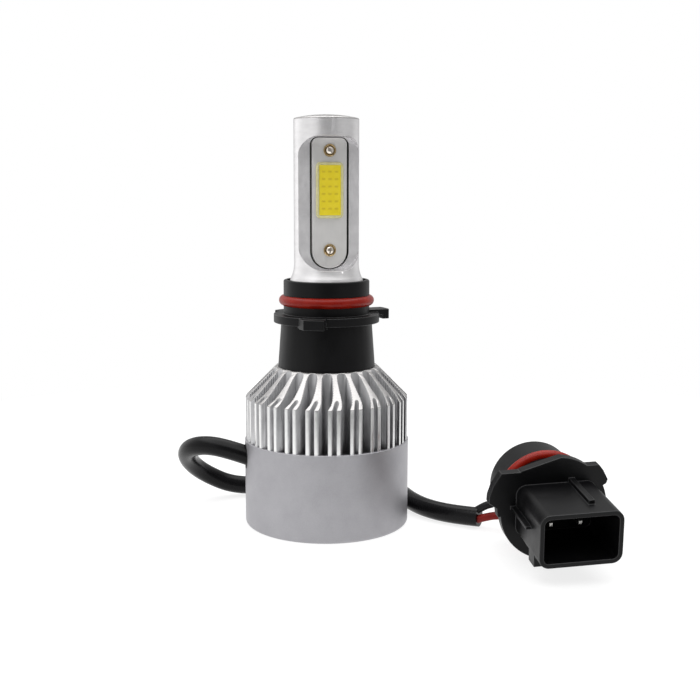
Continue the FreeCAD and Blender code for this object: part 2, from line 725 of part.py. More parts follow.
def plug_wire(route, name):
    # The wire runs from the sheath's end face to the rear seal's outer face.
    solid = tube(route, WIRE_R, name)
    end = V(*CABLE_ROUTE[-1])
    back = (V(*CABLE_ROUTE[-2]) - end).normalize()
    before = Part.makeCylinder(10, 10, end, back)
    beyond = in_place(disc(30, PLUG_BARREL_END, PLUG_BARREL_END + 30))
    return solid.cut(before).cut(beyond)


def turned_both(name, shape):
    return {
        "front_" + name: turned(shape, POST_TURN),
        "rear_" + name: turned(shape, POST_TURN + 180),
    }


parts = {
    "lamp_post": lamp_post(),
    "led_board_screws": led_board_screws(),
    "lamp_leads_red": lamp_lead_wires(0.6, "red lamp lead"),
    "lamp_leads_black": lamp_lead_wires(-0.6, "black lamp lead"),
    "collar": collar(),
    "collar_seal_ring": seal_ring(SEAL_RING_R, SEAL_SECTION_R, SEAL_Z),
    "heat_sink": heat_sink(),
    "fan_housing_band": fan_housing_band(),
    "fan_guard": fan_guard(),
    "fan_guard_screws": guard_screws(),
    "fan_frame": fan_frame(),
    "fan_bearing": fan_bearing(),
    "fan_shaft": fan_shaft(),
    "shaft_clip": shaft_clip(),
    "fan_rotor": fan_rotor(),
    "rotor_yoke": ring(YOKE_R, ROTOR_CUP_R, 2.7, 7.9),
    "rotor_magnet": ring(MAGNET_R, YOKE_R, 3.2, 7.6),
    "stator_core": stator_core(),
    "stator_coils": stator_coils(),
    "fan_circuit_board": fan_circuit_board(),
    "fan_leads": fan_leads(),
    "driver_board": driver_board(),
    "driver_board_screws": driver_board_screws(),
    "inductor_core": inductor_core(),
    "inductor_coil": inductor_coil(),
    "capacitors": capacitors(),
    "controller_chip": controller_chip(),
    "chip_resistors": chip_resistors(),
    "supply_lead_red": supply_lead(0.8, "red supply lead"),
    "supply_lead_black": supply_lead(-0.8, "black supply lead"),
    "cable_grommet": cable_grommet(),
    "cable_sheath": cable_sheath(),
    "plug_wire_black": plug_wire(BLACK_WIRE_ROUTE, "black plug wire"),
    "plug_wire_red": plug_wire(RED_WIRE_ROUTE, "red plug wire"),
    "plug_housing": plug_housing(),
    "plug_seal_ring": in_place(seal_ring(PLUG_SEAL_RING_R, PLUG_SEAL_R, PLUG_SEAL_Z)),
    "plug_terminals": plug_terminals(),
    "plug_rear_seal": plug_rear_seal(),
}
parts.update(turned_both("led_board", board_blank()))
parts.update(turned_both("led_dam", led_dam()))
parts.update(turned_both("led_phosphor", led_phosphor()))

os.makedirs("parts", exist_ok=True)
for name, shape in parts.items():
    print(name, shape.isValid(), "solids", len(shape.Solids), "volume %.2f" % shape.Volume)
    shape.exportStep("parts/" + name + ".step")
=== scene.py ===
import math
import bmesh
import bpy
from mathutils import Matrix, Vector
from mathutils.geometry import tessellate_polygon


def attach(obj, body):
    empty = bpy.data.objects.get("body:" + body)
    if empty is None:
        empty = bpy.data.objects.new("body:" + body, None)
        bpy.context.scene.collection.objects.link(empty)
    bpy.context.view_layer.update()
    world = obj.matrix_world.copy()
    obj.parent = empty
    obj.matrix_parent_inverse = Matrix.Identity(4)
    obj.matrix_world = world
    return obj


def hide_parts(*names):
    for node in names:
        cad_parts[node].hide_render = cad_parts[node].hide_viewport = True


# LED headlight bulb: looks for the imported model. Lengths are metres. The heat sink's sizes are
# millimetres, and its mesh is scaled when it is made.

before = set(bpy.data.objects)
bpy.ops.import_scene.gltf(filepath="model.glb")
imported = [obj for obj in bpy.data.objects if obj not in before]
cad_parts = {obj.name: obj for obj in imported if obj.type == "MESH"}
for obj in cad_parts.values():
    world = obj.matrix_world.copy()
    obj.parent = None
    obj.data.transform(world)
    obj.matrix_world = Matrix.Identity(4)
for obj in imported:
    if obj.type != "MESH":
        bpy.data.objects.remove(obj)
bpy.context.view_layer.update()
MM = 0.001


# ---------------------------------------------------------------- camera, floor and light

CAMERA_PLACE = (-0.01083, -0.22490, 0.07116)
CAMERA_RIGHT = Vector((0.99751908, -0.07035805, 0.00233065))
CAMERA_DOWN = Vector((-0.00798032, -0.14591296, -0.98926524))
CAMERA_AHEAD = Vector((0.06994285, 0.98679236, -0.14611244))
CAMERA_LENS = 53.776
FLOOR_RADIUS = 0.19
FLOOR_CENTRE = (0.01, -0.01)
STUDIO_LIGHT = 0.20
# Each panel: its axis, where it starts and where it is full along that axis, and its strength.
STUDIO_PANELS = [
    ("X", -0.20, -0.75, 0.66), ("X", 0.30, 0.85, 0.27), ("Y", 0.0, 0.7, 0.30),
    ("Z", 0.60, 0.86, 2.3),
]


def add_camera():
    data = bpy.data.cameras.new("camera")
    data.sensor_width = 36.0
    data.lens = CAMERA_LENS
    data.clip_start = 0.01
    data.clip_end = 20.0
    camera = bpy.data.objects.new("camera", data)
    facing = Matrix((CAMERA_RIGHT, -CAMERA_DOWN, -CAMERA_AHEAD)).transposed().to_4x4()
    camera.matrix_world = Matrix.Translation(CAMERA_PLACE) @ facing
    bpy.context.scene.collection.objects.link(camera)
    bpy.context.scene.camera = camera


def add_floor():
    mesh = bpy.data.meshes.new("floor")
    rim = circle_points(FLOOR_RADIUS, 96, FLOOR_CENTRE)
    mesh.from_pydata([(x, y, 0) for x, y in rim], [], [list(range(len(rim)))])
    floor = bpy.data.objects.new("floor", mesh)
    bpy.context.scene.collection.objects.link(floor)
    pale = bpy.data.materials.new("pale_floor")
    pale.use_nodes = True
    shader = pale.node_tree.nodes["Principled BSDF"]
    shader.inputs["Base Color"].default_value = (0.25, 0.25, 0.25, 1)
    shader.inputs["Emission Color"].default_value = (1, 1, 1, 1)
    shader.inputs["Emission Strength"].default_value = 0.80
    shader.inputs["Roughness"].default_value = 0.9
    shader.inputs["Specular IOR Level"].default_value = 0.1
    mesh.materials.append(pale)


def add_studio():
    # Soft panels at the left, right, back and top, over an even light. The camera sees white.
    world = bpy.data.worlds.new("studio")
    bpy.context.scene.world = world
    world.use_nodes = True
    tree = world.node_tree
    background = tree.nodes["Background"]
    direction = add_node(tree, "TexCoord").outputs["Generated"]
    split = add_node(tree, "SeparateXYZ", {"Vector": direction})
    total = STUDIO_LIGHT
    for axis, start, full, strength in STUDIO_PANELS:
        panel = add_node(
            tree, "MapRange",
            {"Value": split.outputs[axis], "From Min": start, "From Max": full, "To Max": strength},
            interpolation_type="SMOOTHSTEP",
        )
        total = add_node(
            tree, "Math", {0: total, 1: panel.outputs["Result"]}, operation="ADD"
        ).outputs["Value"]
    seen = add_node(tree, "LightPath").outputs["Is Camera Ray"]
    shown = add_node(
        tree, "Mix", {"Factor": seen, "A": total, "B": 1.0}, data_type="FLOAT"
    ).outputs["Result"]
    tree.links.new(shown, background.inputs["Strength"])
    background.inputs["Color"].default_value = (1, 1, 1, 1)
    bpy.context.scene.view_settings.view_transform = "Standard"


# ---------------------------------------------------------------- material tools

def add_node(tree, kind, inputs=None, **settings):
    """Adds a shader node, and fills its inputs from numbers or from other nodes' outputs."""
    made = tree.nodes.new("ShaderNode" + kind)
    for key, value in settings.items():
        setattr(made, key, value)
    for key, value in (inputs or {}).items():
        if isinstance(value, bpy.types.NodeSocket):
            tree.links.new(value, made.inputs[key])
        else:
            made.inputs[key].default_value = value
    return made


def new_material(name, colour, roughness, metallic=0.0, **sockets):
    material = bpy.data.materials.new(name)
    material.use_nodes = True
    tree = material.node_tree
    shader = tree.nodes["Principled BSDF"]
    shader.inputs["Base Color"].default_value = (*colour, 1)
    shader.inputs["Roughness"].default_value = roughness
    shader.inputs["Metallic"].default_value = metallic
    for socket, value in sockets.items():
        shader.inputs[socket.replace("_", " ")].default_value = value
    return material, tree, shader


def coords(tree, scale=(1, 1, 1), turn=0.0):
    place = add_node(tree, "TexCoord").outputs["Object"]
    mapping = add_node(
        tree, "Mapping", {"Vector": place, "Scale": scale, "Rotation": (0, 0, turn)}
    )
    return mapping.outputs["Vector"]


def noise(tree, vector, size, detail=2.0, roughness=0.5):
    """Noise from 0 to 1, whose features are about size metres across."""
    return add_node(
        tree, "TexNoise",
        {"Vector": vector, "Scale": 1 / size, "Detail": detail, "Roughness": roughness},
    ).outputs["Fac"]


def ranged(tree, value, low, high, start=0.3, end=0.7):
    return add_node(
        tree, "MapRange",
        {"Value": value, "From Min": start, "From Max": end, "To Min": low, "To Max": high},
    ).outputs["Result"]


def tint(tree, value, dark, light, start=0.3, end=0.7):
    ramp = add_node(tree, "ValToRGB", {"Fac": value})
    ramp.color_ramp.elements[0].position = start
    ramp.color_ramp.elements[1].position = end
    ramp.color_ramp.elements[0].color = (*dark, 1)
    ramp.color_ramp.elements[1].color = (*light, 1)
    return ramp.outputs["Color"]


def bump(tree, height, depth, strength=1.0, under=None):
    inputs = {"Height": height, "Distance": depth, "Strength": strength}
    if under is not None:
        inputs["Normal"] = under
    return add_node(tree, "Bump", inputs).outputs["Normal"]


def finish(tree, shader, colour=None, roughness=None, normal=None):
    for key, value in (("Base Color", colour), ("Roughness", roughness), ("Normal", normal)):
        if value is not None:
            tree.links.new(value, shader.inputs[key])


# ---------------------------------------------------------------- materials

MILL_TURN = -math.radians(10)
MILL_RADIUS = 0.0067
MILL_PITCH = 0.00042
MILL_WOBBLE = 0.0008


def turned_aluminium():
    # Lathe lines run round the post, so its highlights stretch along the axis.
    material, tree, shader = new_material(
        "turned_aluminium", (0.83, 0.82, 0.82), 0.36, 1.0,
        Anisotropic=0.6, Anisotropic_Rotation=0.25,
    )
    lines = noise(tree, coords(tree, (0.02, 0.02, 1)), 0.00014, 3.0)
    smears = noise(tree, coords(tree, (0.3, 0.3, 1)), 0.0012, 2.0)
    tangent = add_node(tree, "Tangent", direction_type="RADIAL", axis="Z").outputs["Tangent"]
    tree.links.new(tangent, shader.inputs["Tangent"])
    finish(
        tree, shader,
        tint(tree, smears, (0.78, 0.77, 0.775), (0.86, 0.85, 0.855)),
        ranged(tree, lines, 0.30, 0.48),
        bump(tree, lines, 0.000009),
    )
    return material


def milled_aluminium():
    # Overlapping arcs of an end mill that ran along the pocket.
    material, tree, shader = new_material("milled_aluminium", (0.8, 0.79, 0.79), 0.34, 1.0)
    split = add_node(tree, "SeparateXYZ", {"Vector": coords(tree, turn=MILL_TURN)})
    squared = add_node(tree, "Math", {0: split.outputs["X"], 1: 2.0}, operation="POWER")
    across = add_node(
        tree, "Math", {0: MILL_RADIUS ** 2, 1: squared.outputs["Value"]}, operation="SUBTRACT"
    )
    arc = add_node(tree, "Math", {0: across.outputs["Value"]}, operation="SQRT")
    along = add_node(
        tree, "Math", {0: split.outputs["Z"], 1: arc.outputs["Value"]}, operation="SUBTRACT"
    )
    wobble = noise(tree, coords(tree), 0.004, 2.0)
    shifted = add_node(
        tree, "Math", {0: wobble, 1: MILL_WOBBLE, 2: along.outputs["Value"]},
        operation="MULTIPLY_ADD",
    )
    wave = add_node(
        tree, "Math", {0: shifted.outputs["Value"], 1: 2 * math.pi / MILL_PITCH},
        operation="MULTIPLY",
    )
    ridges = add_node(tree, "Math", {0: wave.outputs["Value"]}, operation="SINE").outputs["Value"]
    grain = noise(tree, coords(tree), 0.0006, 4.0, 0.6)
    cloud = noise(tree, coords(tree), 0.003, 3.0)
    finish(
        tree, shader,
        tint(tree, cloud, (0.78, 0.77, 0.78), (0.90, 0.89, 0.90)),
        ranged(tree, grain, 0.42, 0.58),
        bump(tree, ridges, 0.0000055, 0.8, bump(tree, grain, 0.00002, 0.5)),
    )
    return material


def cut_aluminium(name, dark, light):
    material, tree, shader = new_material(name, light, 0.3, 1.0)
    grain = noise(tree, coords(tree, (1, 1, 0.4)), 0.0004, 3.0)
    finish(
        tree, shader,
        tint(tree, grain, dark, light),
        ranged(tree, grain, 0.28, 0.44),
        bump(tree, grain, 0.000012, 0.6),
    )
    return material


def extruded_aluminium():
    # Die lines of the extrusion run along the axis.
    material, tree, shader = new_material("extruded_aluminium", (0.62, 0.62, 0.63), 0.42, 1.0)
    lines = noise(tree, coords(tree, (1, 1, 0.03)), 0.00022, 3.0)
    cloud = noise(tree, coords(tree), 0.003, 3.0)
    finish(
        tree, shader,
        tint(tree, cloud, (0.50, 0.50, 0.51), (0.62, 0.62, 0.63)),
        ranged(tree, lines, 0.34, 0.52),
        bump(tree, lines, 0.00001, 0.7),
    )
    return material


def blasted_aluminium():
    material, tree, shader = new_material("blasted_aluminium", (0.60, 0.59, 0.61), 0.5, 1.0)
    grain = noise(tree, coords(tree), 0.00022, 3.0, 0.6)
    cloud = noise(tree, coords(tree), 0.004, 2.0)
    finish(
        tree, shader,
        tint(tree, cloud, (0.395, 0.39, 0.41), (0.43, 0.425, 0.445)),
        ranged(tree, grain, 0.44, 0.6),
        bump(tree, grain, 0.000014, 0.6),
    )
    return material


def board_aluminium():
    material, tree, shader = new_material("board_aluminium", (0.78, 0.77, 0.75), 0.5, 0.7)
    grain = noise(tree, coords(tree, (1, 1, 0.06)), 0.0003, 3.0)
    cloud = noise(tree, coords(tree), 0.004, 2.0)
    finish(
        tree, shader,
        tint(tree, cloud, (0.74, 0.73, 0.715), (0.82, 0.81, 0.795)),
        ranged(tree, grain, 0.44, 0.58),
        bump(tree, grain, 0.000006, 0.6),
    )
    return material


def moulded_plastic(name, dark, light, roughness, specular=0.17):
    material, tree, shader = new_material(name, dark, roughness, Specular_IOR_Level=specular)
    grain = noise(tree, coords(tree), 0.00016, 3.0, 0.6)
    cloud = noise(tree, coords(tree), 0.005, 3.0)
    finish(
        tree, shader,
        tint(tree, cloud, dark, light),
        ranged(tree, cloud, roughness - 0.05, roughness + 0.07),
        bump(tree, grain, 0.00001, 0.5),
    )
    return material


def rubber(name, dark, light, roughness):
    material, tree, shader = new_material(name, dark, roughness, Specular_IOR_Level=0.16)
    grain = noise(tree, coords(tree), 0.0003, 4.0, 0.6)
    cloud = noise(tree, coords(tree), 0.006, 3.0)
    finish(
        tree, shader,
        tint(tree, cloud, dark, light),
        ranged(tree, grain, roughness - 0.06, roughness + 0.1),
        bump(tree, grain, 0.000012, 0.6),
    )
    return material


def silicone():
    material, tree, shader = new_material(
        "red_silicone", (0.30, 0.014, 0.006), 0.36, Specular_IOR_Level=0.22,
        Subsurface_Weight=0.08, Subsurface_Scale=0.0004, Subsurface_Radius=(1.0, 0.2, 0.1),
    )
    grain = noise(tree, coords(tree), 0.0004, 4.0, 0.6)
    cloud = noise(tree, coords(tree), 0.003, 3.0)
    finish(
        tree, shader,
        tint(tree, cloud, (0.21, 0.005, 0.001), (0.28, 0.010, 0.002)),
        ranged(tree, grain, 0.24, 0.38),
        bump(tree, grain, 0.000014, 0.7),
    )
    return material


def phosphor_gel():
    # The dies and their bond wires show through the gel as darker dashes.
    material, tree, shader = new_material(
        "phosphor_gel", (0.72, 0.58, 0.03), 0.38,
        Subsurface_Weight=0.1, Subsurface_Scale=0.0004, Subsurface_Radius=(1.0, 0.8, 0.2),
    )
    marks = add_node(tree, "VertexColor", layer_name="mark").outputs["Color"]
    cloud = noise(tree, coords(tree), 0.0012, 3.0)
    clear = tint(tree, cloud, (0.84, 0.68, 0.016), (0.90, 0.735, 0.028))
    colour = add_node(
        tree, "Mix", {"Factor": marks, "A": clear, "B": (0.66, 0.50, 0.015, 1)},
        data_type="RGBA",
    )
    finish(
        tree, shader,
        colour.outputs["Result"],
        ranged(tree, cloud, 0.32, 0.46),
        bump(tree, noise(tree, coords(tree), 0.0002, 2.0), 0.000008, 0.5),
    )
    return material


def dam_silicone():
    material, tree, shader = new_material(
        "dam_silicone", (0.66, 0.60, 0.33), 0.42,
        Subsurface_Weight=0.2, Subsurface_Scale=0.0005, Subsurface_Radius=(1.0, 0.9, 0.5),
    )
    cloud = noise(tree, coords(tree), 0.0009, 3.0)
    finish(
        tree, shader,
        tint(tree, cloud, (0.60, 0.56, 0.27), (0.72, 0.69, 0.40)),
        ranged(tree, cloud, 0.36, 0.5),
        bump(tree, cloud, 0.00002, 0.4),
    )
    return material


def plated_metal(name, dark, light, roughness):
    material, tree, shader = new_material(name, light, roughness, 1.0)
    grain = noise(tree, coords(tree), 0.0003, 4.0, 0.6)
    cloud = noise(tree, coords(tree), 0.0016, 3.0)
    finish(
        tree, shader,
        tint(tree, cloud, dark, light),
        ranged(tree, grain, roughness - 0.07, roughness + 0.1),
        bump(tree, grain, 0.000008, 0.6),
    )
    return material


def solder_mask():
    material, tree, shader = new_material("solder_mask", (0.01, 0.09, 0.03), 0.3)
    tracks = add_node(
        tree, "TexBrick", {"Vector": coords(tree), "Scale": 260.0, "Mortar Size": 0.03}
    ).outputs["Fac"]
    finish(
        tree, shader,
        tint(tree, tracks, (0.008, 0.08, 0.028), (0.02, 0.16, 0.05)),
        ranged(tree, noise(tree, coords(tree), 0.001), 0.24, 0.36),
        bump(tree, tracks, 0.00003, 0.6),
    )
    return material


def wound_copper():
    material, tree, shader = new_material("wound_copper", (0.62, 0.22, 0.08), 0.28, 1.0)
    turns = add_node(
        tree, "TexWave", {"Vector": coords(tree), "Scale": 900.0, "Distortion": 1.5},
        bands_direction="Z",
    ).outputs["Fac"]
    finish(
        tree, shader,
        tint(tree, turns, (0.34, 0.10, 0.03), (0.70, 0.27, 0.10)),
        ranged(tree, turns, 0.4, 0.24),
        bump(tree, turns, 0.00008, 0.9),
    )
    return material


# ---------------------------------------------------------------- piece tools

CORNER = math.radians(28)

def add_piece(name, mesh, materials, replaced, turn=0.0, body="root"):
    piece = bpy.data.objects.new(name, mesh)
    bpy.context.scene.collection.objects.link(piece)
    piece.rotation_euler.z = math.radians(turn)
    for material in materials:
        mesh.materials.append(material)
    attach(piece, body)
    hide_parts(*replaced)
    return piece


def mesh_from(name, corners, faces):
    mesh = bpy.data.meshes.new(name)
    mesh.from_pydata(corners, [], faces)
    mesh.validate()
    return mesh


def smooth(mesh, sharp_above=35.0):
    """Smooth shading everywhere except across edges that turn by more than an angle."""
    shape = bmesh.new()
    shape.from_mesh(mesh)
    bmesh.ops.recalc_face_normals(shape, faces=shape.faces)
    for face in shape.faces:
        face.smooth = True
    for edge in shape.edges:
        if len(edge.link_faces) == 2:
            edge.smooth = edge.calc_face_angle(0.0) < math.radians(sharp_above)
    shape.to_mesh(mesh)
    shape.free()


def clean_copy(node, merge=0.002 * MM):
    """A new mesh of a CAD node: its triangles joined, and flat faces made whole."""
    shape = bmesh.new()
    shape.from_mesh(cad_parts[node].data)
    bmesh.ops.remove_doubles(shape, verts=shape.verts, dist=merge)
    bmesh.ops.dissolve_limit(
        shape, angle_limit=math.radians(0.4), verts=shape.verts, edges=shape.edges
    )
    corners = [tuple(vert.co) for vert in shape.verts]
    faces = [[vert.index for vert in face.verts] for face in shape.faces]
    shape.free()
    return mesh_from(node + "_shape", corners, faces)


def weigh_edges(mesh, wanted):
    """Marks the sharp edges whose middle point is wanted for rounding; the rest stay crisp."""
    shape = bmesh.new()
    shape.from_mesh(mesh)
    weight = shape.edges.layers.float.new("bevel_weight_edge")
    for edge in shape.edges:
        sharp = len(edge.link_faces) == 2 and edge.calc_face_angle(0.0) > CORNER
        highlit = sharp and wanted((edge.verts[0].co + edge.verts[1].co) / 2)
        edge[weight] = float(highlit)
        edge.smooth = highlit or not sharp
    shape.to_mesh(mesh)
    shape.free()


def round_edges(piece, radius, segments, **limits):
    """Rounds a piece's edges, and keeps its flat faces shading flat."""
    rounding = piece.modifiers.new("rounding", "BEVEL")
    rounding.width = radius
    rounding.segments = segments
    rounding.harden_normals = True
    for key, value in limits.items():
        setattr(rounding, key, value)
    shading = piece.modifiers.new("shading", "WEIGHTED_NORMAL")
    shading.keep_sharp = True


def add_highlit_edges(node, name, materials, radius, wanted):
    """A CAD node's shape whose wanted edges are rounded and carry the second material. That plastic
    is glossier, which is real, and lighter in colour, which is a painted highlight along the edges.
    """
    mesh = clean_copy(node, 0.05 * MM)
    smooth(mesh, 180)
    weigh_edges(mesh, wanted)
    piece = add_piece(name, mesh, materials, [node])
    round_edges(piece, radius, 2, limit_method="WEIGHT", use_clamp_overlap=False, material=1)
    return piece


def add_rounded(node, name, materials, radius, segments=3):
    """A CAD node's shape with every sharp edge rounded."""
    mesh = clean_copy(node)
    smooth(mesh, 180)
    piece = add_piece(name, mesh, materials, [node])
    round_edges(
        piece, radius, segments, limit_method="ANGLE", angle_limit=CORNER,
        use_clamp_overlap=True, miter_outer="MITER_ARC",
    )
    return piece


def lathe(name, outline, steps=160):
    """A mesh turned about Z from a closed outline of (radius, height) points."""
    corners = []
    for step in range(steps):
        angle = 2 * math.pi * step / steps
        corners += [(r * math.cos(angle), r * math.sin(angle), z) for r, z in outline]
    count = len(outline)
    faces = []
    for step in range(steps):
        ahead = (step + 1) % steps
        for i in range(count):
            j = (i + 1) % count
            faces.append((step * count + i, ahead * count + i, ahead * count + j, step * count + j))
    return mesh_from(name, corners, faces)


def circle_points(radius, steps, centre=(0.0, 0.0), start=0.0, sweep=360.0):
    closed = abs(sweep) >= 360
    share = steps if closed else steps - 1
    return [
        (
            centre[0] + radius * math.cos(math.radians(start + sweep * i / share)),
            centre[1] + radius * math.sin(math.radians(start + sweep * i / share)),
        )
        for i in range(steps)
    ]


# ---------------------------------------------------------------- cable and wires

CABLE_RADIUS = 2.08 * MM
CABLE_ROUTE = [
    (-0.0164, -0.0021, 0.0148), (-0.0212, -0.0015, 0.0164), (-0.0260, 0.0002, 0.0171),
    (-0.0299, 0.0036, 0.0159), (-0.0316, 0.0084, 0.0131), (-0.0305, 0.0134, 0.0093),
    (-0.0272, 0.0170, 0.0058), (-0.0217, 0.0189, 0.0028), (-0.0142, 0.0204, 0.0021),
    (-0.0052, 0.0226, 0.0021), (0.0040, 0.0224, 0.0021), (0.0122, 0.0189, 0.0021),
    (0.0179, 0.0126, 0.0021), (0.0196, 0.0049, 0.0021), (0.0228, -0.0014, 0.0021),
    (0.0280, -0.0059, 0.0021), (0.0326, -0.0088, 0.0024),
]
WIRE_RADIUS = 0.85 * MM
BLACK_WIRE_ROUTE = [
    (0.0317, -0.0082, 0.0034), (0.0336, -0.0090, 0.0050), (0.0359, -0.0094, 0.0056),
    (0.0382, -0.0092, 0.0072), (0.0393, -0.0092, 0.0098), (0.0396, -0.0109, 0.0126),
    (0.0399, -0.0164, 0.0133),
]
RED_WIRE_ROUTE = [
    (0.0314, -0.00885, 0.0017), (0.0344, -0.0101, 0.0030), (0.0372, -0.0115, 0.0035),
    (0.0404, -0.0106, 0.0048), (0.0429, -0.0094, 0.0076), (0.0436, -0.0100, 0.0112),
    (0.0438, -0.0164, 0.0128),
]


def add_cord(name, route, radius, material, replaced):
    curve = bpy.data.curves.new(name, "CURVE")
    curve.dimensions = "3D"
    curve.bevel_depth = radius
    curve.bevel_resolution = 10
    curve.resolution_u = 16
    curve.use_fill_caps = True
    line = curve.splines.new("NURBS")
    line.points.add(len(route) - 1)
    for point, place in zip(line.points, route):
        point.co = (*place, 1)
    line.order_u = 3
    line.use_endpoint_u = True
    line.use_smooth = True
    curve.materials.append(material)
    piece = bpy.data.objects.new(name, curve)
    bpy.context.scene.collection.objects.link(piece)
    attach(piece, "root")
    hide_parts(replaced)
    return piece


# ---------------------------------------------------------------- heat sink

CORE_R = 11.1
BORE_R = 10.55
FIN_COUNT = 24
FIN_R = 17.66
FIN_BOTTOM = 15.2
FIN_SHOULDER = 28.0
FIN_TOP = 34.55
STEP_R = 16.95
STEP_LOW = 18.68
STEP_HIGH = 18.71
FIN_SWEEP = 3.2
FIN_START = -84.6
SLOT_END_R = 11.12
SIDE_START_R = 11.85
FORK_HALF = 0.45
FORK_END_R = 16.4
TIP_ROUND = 0.14
TOOTH_PITCH = 0.42
TOOTH_DEPTH = 0.09
EDGE_BREAK = 0.07
CABLE_GAP_X = -11.0
CABLE_GAP_Y = -2.2
CABLE_GAP_HALF = 3.4
SIDE_WIDTHS = [(11.85, 0.58), (12.4, 0.50), (14.2, 0.66), (15.7, 0.92), (17.66, 1.36)]


def fin_half_width(radius):
    for (r0, w0), (r1, w1) in zip(SIDE_WIDTHS, SIDE_WIDTHS[1:]):
        if radius <= r1:
            return w0 + (w1 - w0) * (radius - r0) / (r1 - r0)
    return SIDE_WIDTHS[-1][1]


def fin_half_outline():
    # From the middle of the slot beside the fin out to the fork: (radius, sideways) pairs.
    slot_half = math.pi * SIDE_START_R / FIN_COUNT - SIDE_WIDTHS[0][1]
    half = []
    for i in range(9):
        angle = math.radians(90 * i / 8)
        radius = SIDE_START_R - (SIDE_START_R - SLOT_END_R) * math.cos(angle) ** 0.8
        gap = slot_half * math.sin(angle) ** 0.9
        half.append((radius, math.pi * radius / FIN_COUNT - gap))
    teeth = int((FIN_R - 0.5 - SIDE_START_R) / (TOOTH_PITCH / 4))
    for i in range(2, teeth):
        radius = SIDE_START_R + TOOTH_PITCH / 4 * i
        wave = TOOTH_DEPTH * math.sin(2 * math.pi * radius / TOOTH_PITCH)
        half.append((radius, fin_half_width(radius) + wave))
    outer = fin_half_width(FIN_R)
    corner = (FIN_R - TIP_ROUND, outer - TIP_ROUND)
    half += circle_points(TIP_ROUND, 4, corner, 90, -90)
    corner = (FIN_R - TIP_ROUND, FORK_HALF + TIP_ROUND)
    half += circle_points(TIP_ROUND, 4, corner, 0, -90)
    half += circle_points(FORK_HALF, 5, (FORK_END_R, 0), 90, 90)[:-1]
    return half


def fin_outline(number):
    # One fin's whole outline in plan, from the slot before it to the slot after it.
    half = fin_half_outline()
    slot_end = (FORK_END_R - FORK_HALF, 0.0)
    middle = math.radians(FIN_START + 360 / FIN_COUNT * number)
    points = []
    for radius, side in [(r, -s) for r, s in half] + [slot_end] + list(reversed(half[1:])):
        sweep = -math.radians(FIN_SWEEP) * ((radius - CORE_R) / (FIN_R - CORE_R)) ** 6
        angle = middle + sweep + side / radius
        points.append(Vector((radius * math.cos(angle), radius * math.sin(angle))))
    return points


def cone_height(point):
    return FIN_TOP - (FIN_TOP - FIN_SHOULDER) * max(0.0, point.length - CORE_R) / (FIN_R - CORE_R)


def fin_floor(point):
    # The fins stop higher where the cable comes in under them.
    beside_cable = point.x < CABLE_GAP_X and abs(point.y - CABLE_GAP_Y) < CABLE_GAP_HALF
    return STEP_LOW - 0.05 if beside_cable else FIN_BOTTOM


def clipped(point, radius):
    return point if point.length <= radius else point.normalized() * radius


def inset(loop, distance):
    moved = []
    for i, point in enumerate(loop):
        along = loop[(i + 1) % len(loop)] - loop[i - 1]
        moved.append(point + Vector((-along.y, along.x)).normalized() * distance)
    return moved


def heat_sink_rings(outline):
    edge = inset(outline, EDGE_BREAK)
    return [
        [(*clipped(p, STEP_R), fin_floor(p)) for p in outline],
        [(*clipped(p, STEP_R), STEP_LOW) for p in outline],
        [(*p, STEP_HIGH) for p in outline],
        [(*p, cone_height(p) - EDGE_BREAK) for p in outline],
        [(*(p * 0.4 + q * 0.6), cone_height(q) - EDGE_BREAK * 0.3) for p, q in zip(outline, edge)],
        [(*q, cone_height(q)) for q in edge],
    ]


def heat_sink_mesh():
    fins = [fin_outline(number) for number in range(FIN_COUNT)]
    outline = [point for fin in fins for point in fin]
    rings = heat_sink_rings(outline)
    count = len(outline)
    corners = [corner for ring in rings for corner in ring]
    faces = []
    tip_faces = set()
    sawn_faces = set()
    for level in range(len(rings) - 1):
        for i in range(count):
            j = (i + 1) % count
            a, b = level * count + i, level * count + j
            turned_tip = min(outline[i].length, outline[j].length) > FIN_R - 0.01
            if level >= 3:
                sawn_faces.add(len(faces))
            elif turned_tip:
                tip_faces.add(len(faces))
            faces.append((a, b, b + count, a + count))
    top = (len(rings) - 1) * count
    first = 0
    for number, fin in enumerate(fins):
        size = len(fin)
        sector = [top + (first + i) % count for i in range(size + 1)]
        start = math.radians(FIN_START + 360 / FIN_COUNT * (number - 0.5))
        step = math.radians(360 / FIN_COUNT) / 6
        bore = []
        for i in reversed(range(7)):
            angle = start + step * i
            bore.append(len(corners))
            corners.append((BORE_R * math.cos(angle), BORE_R * math.sin(angle), FIN_TOP))
        loop = sector + bore
        flat = [Vector((corners[i][0], corners[i][1], 0)) for i in loop]
        for triangle in tessellate_polygon([flat]):
            sawn_faces.add(len(faces))
            faces.append(tuple(loop[i] for i in triangle))
        first += size
    return corners, faces, tip_faces, sawn_faces


def core_outline():
    # The turned core: its bore for the collar, the post's seat, and the driver's cavity.
    return [
        (BORE_R, FIN_TOP), (BORE_R, 32.6), (6.95, 32.6), (6.95, 26.0), (2.0, 26.0), (2.0, 24.0),
        (9.6, 24.0), (9.6, 13.4), (CORE_R, 13.4),
        (CORE_R, FIN_BOTTOM + 4), (BORE_R, FIN_BOTTOM + 4),
    ]


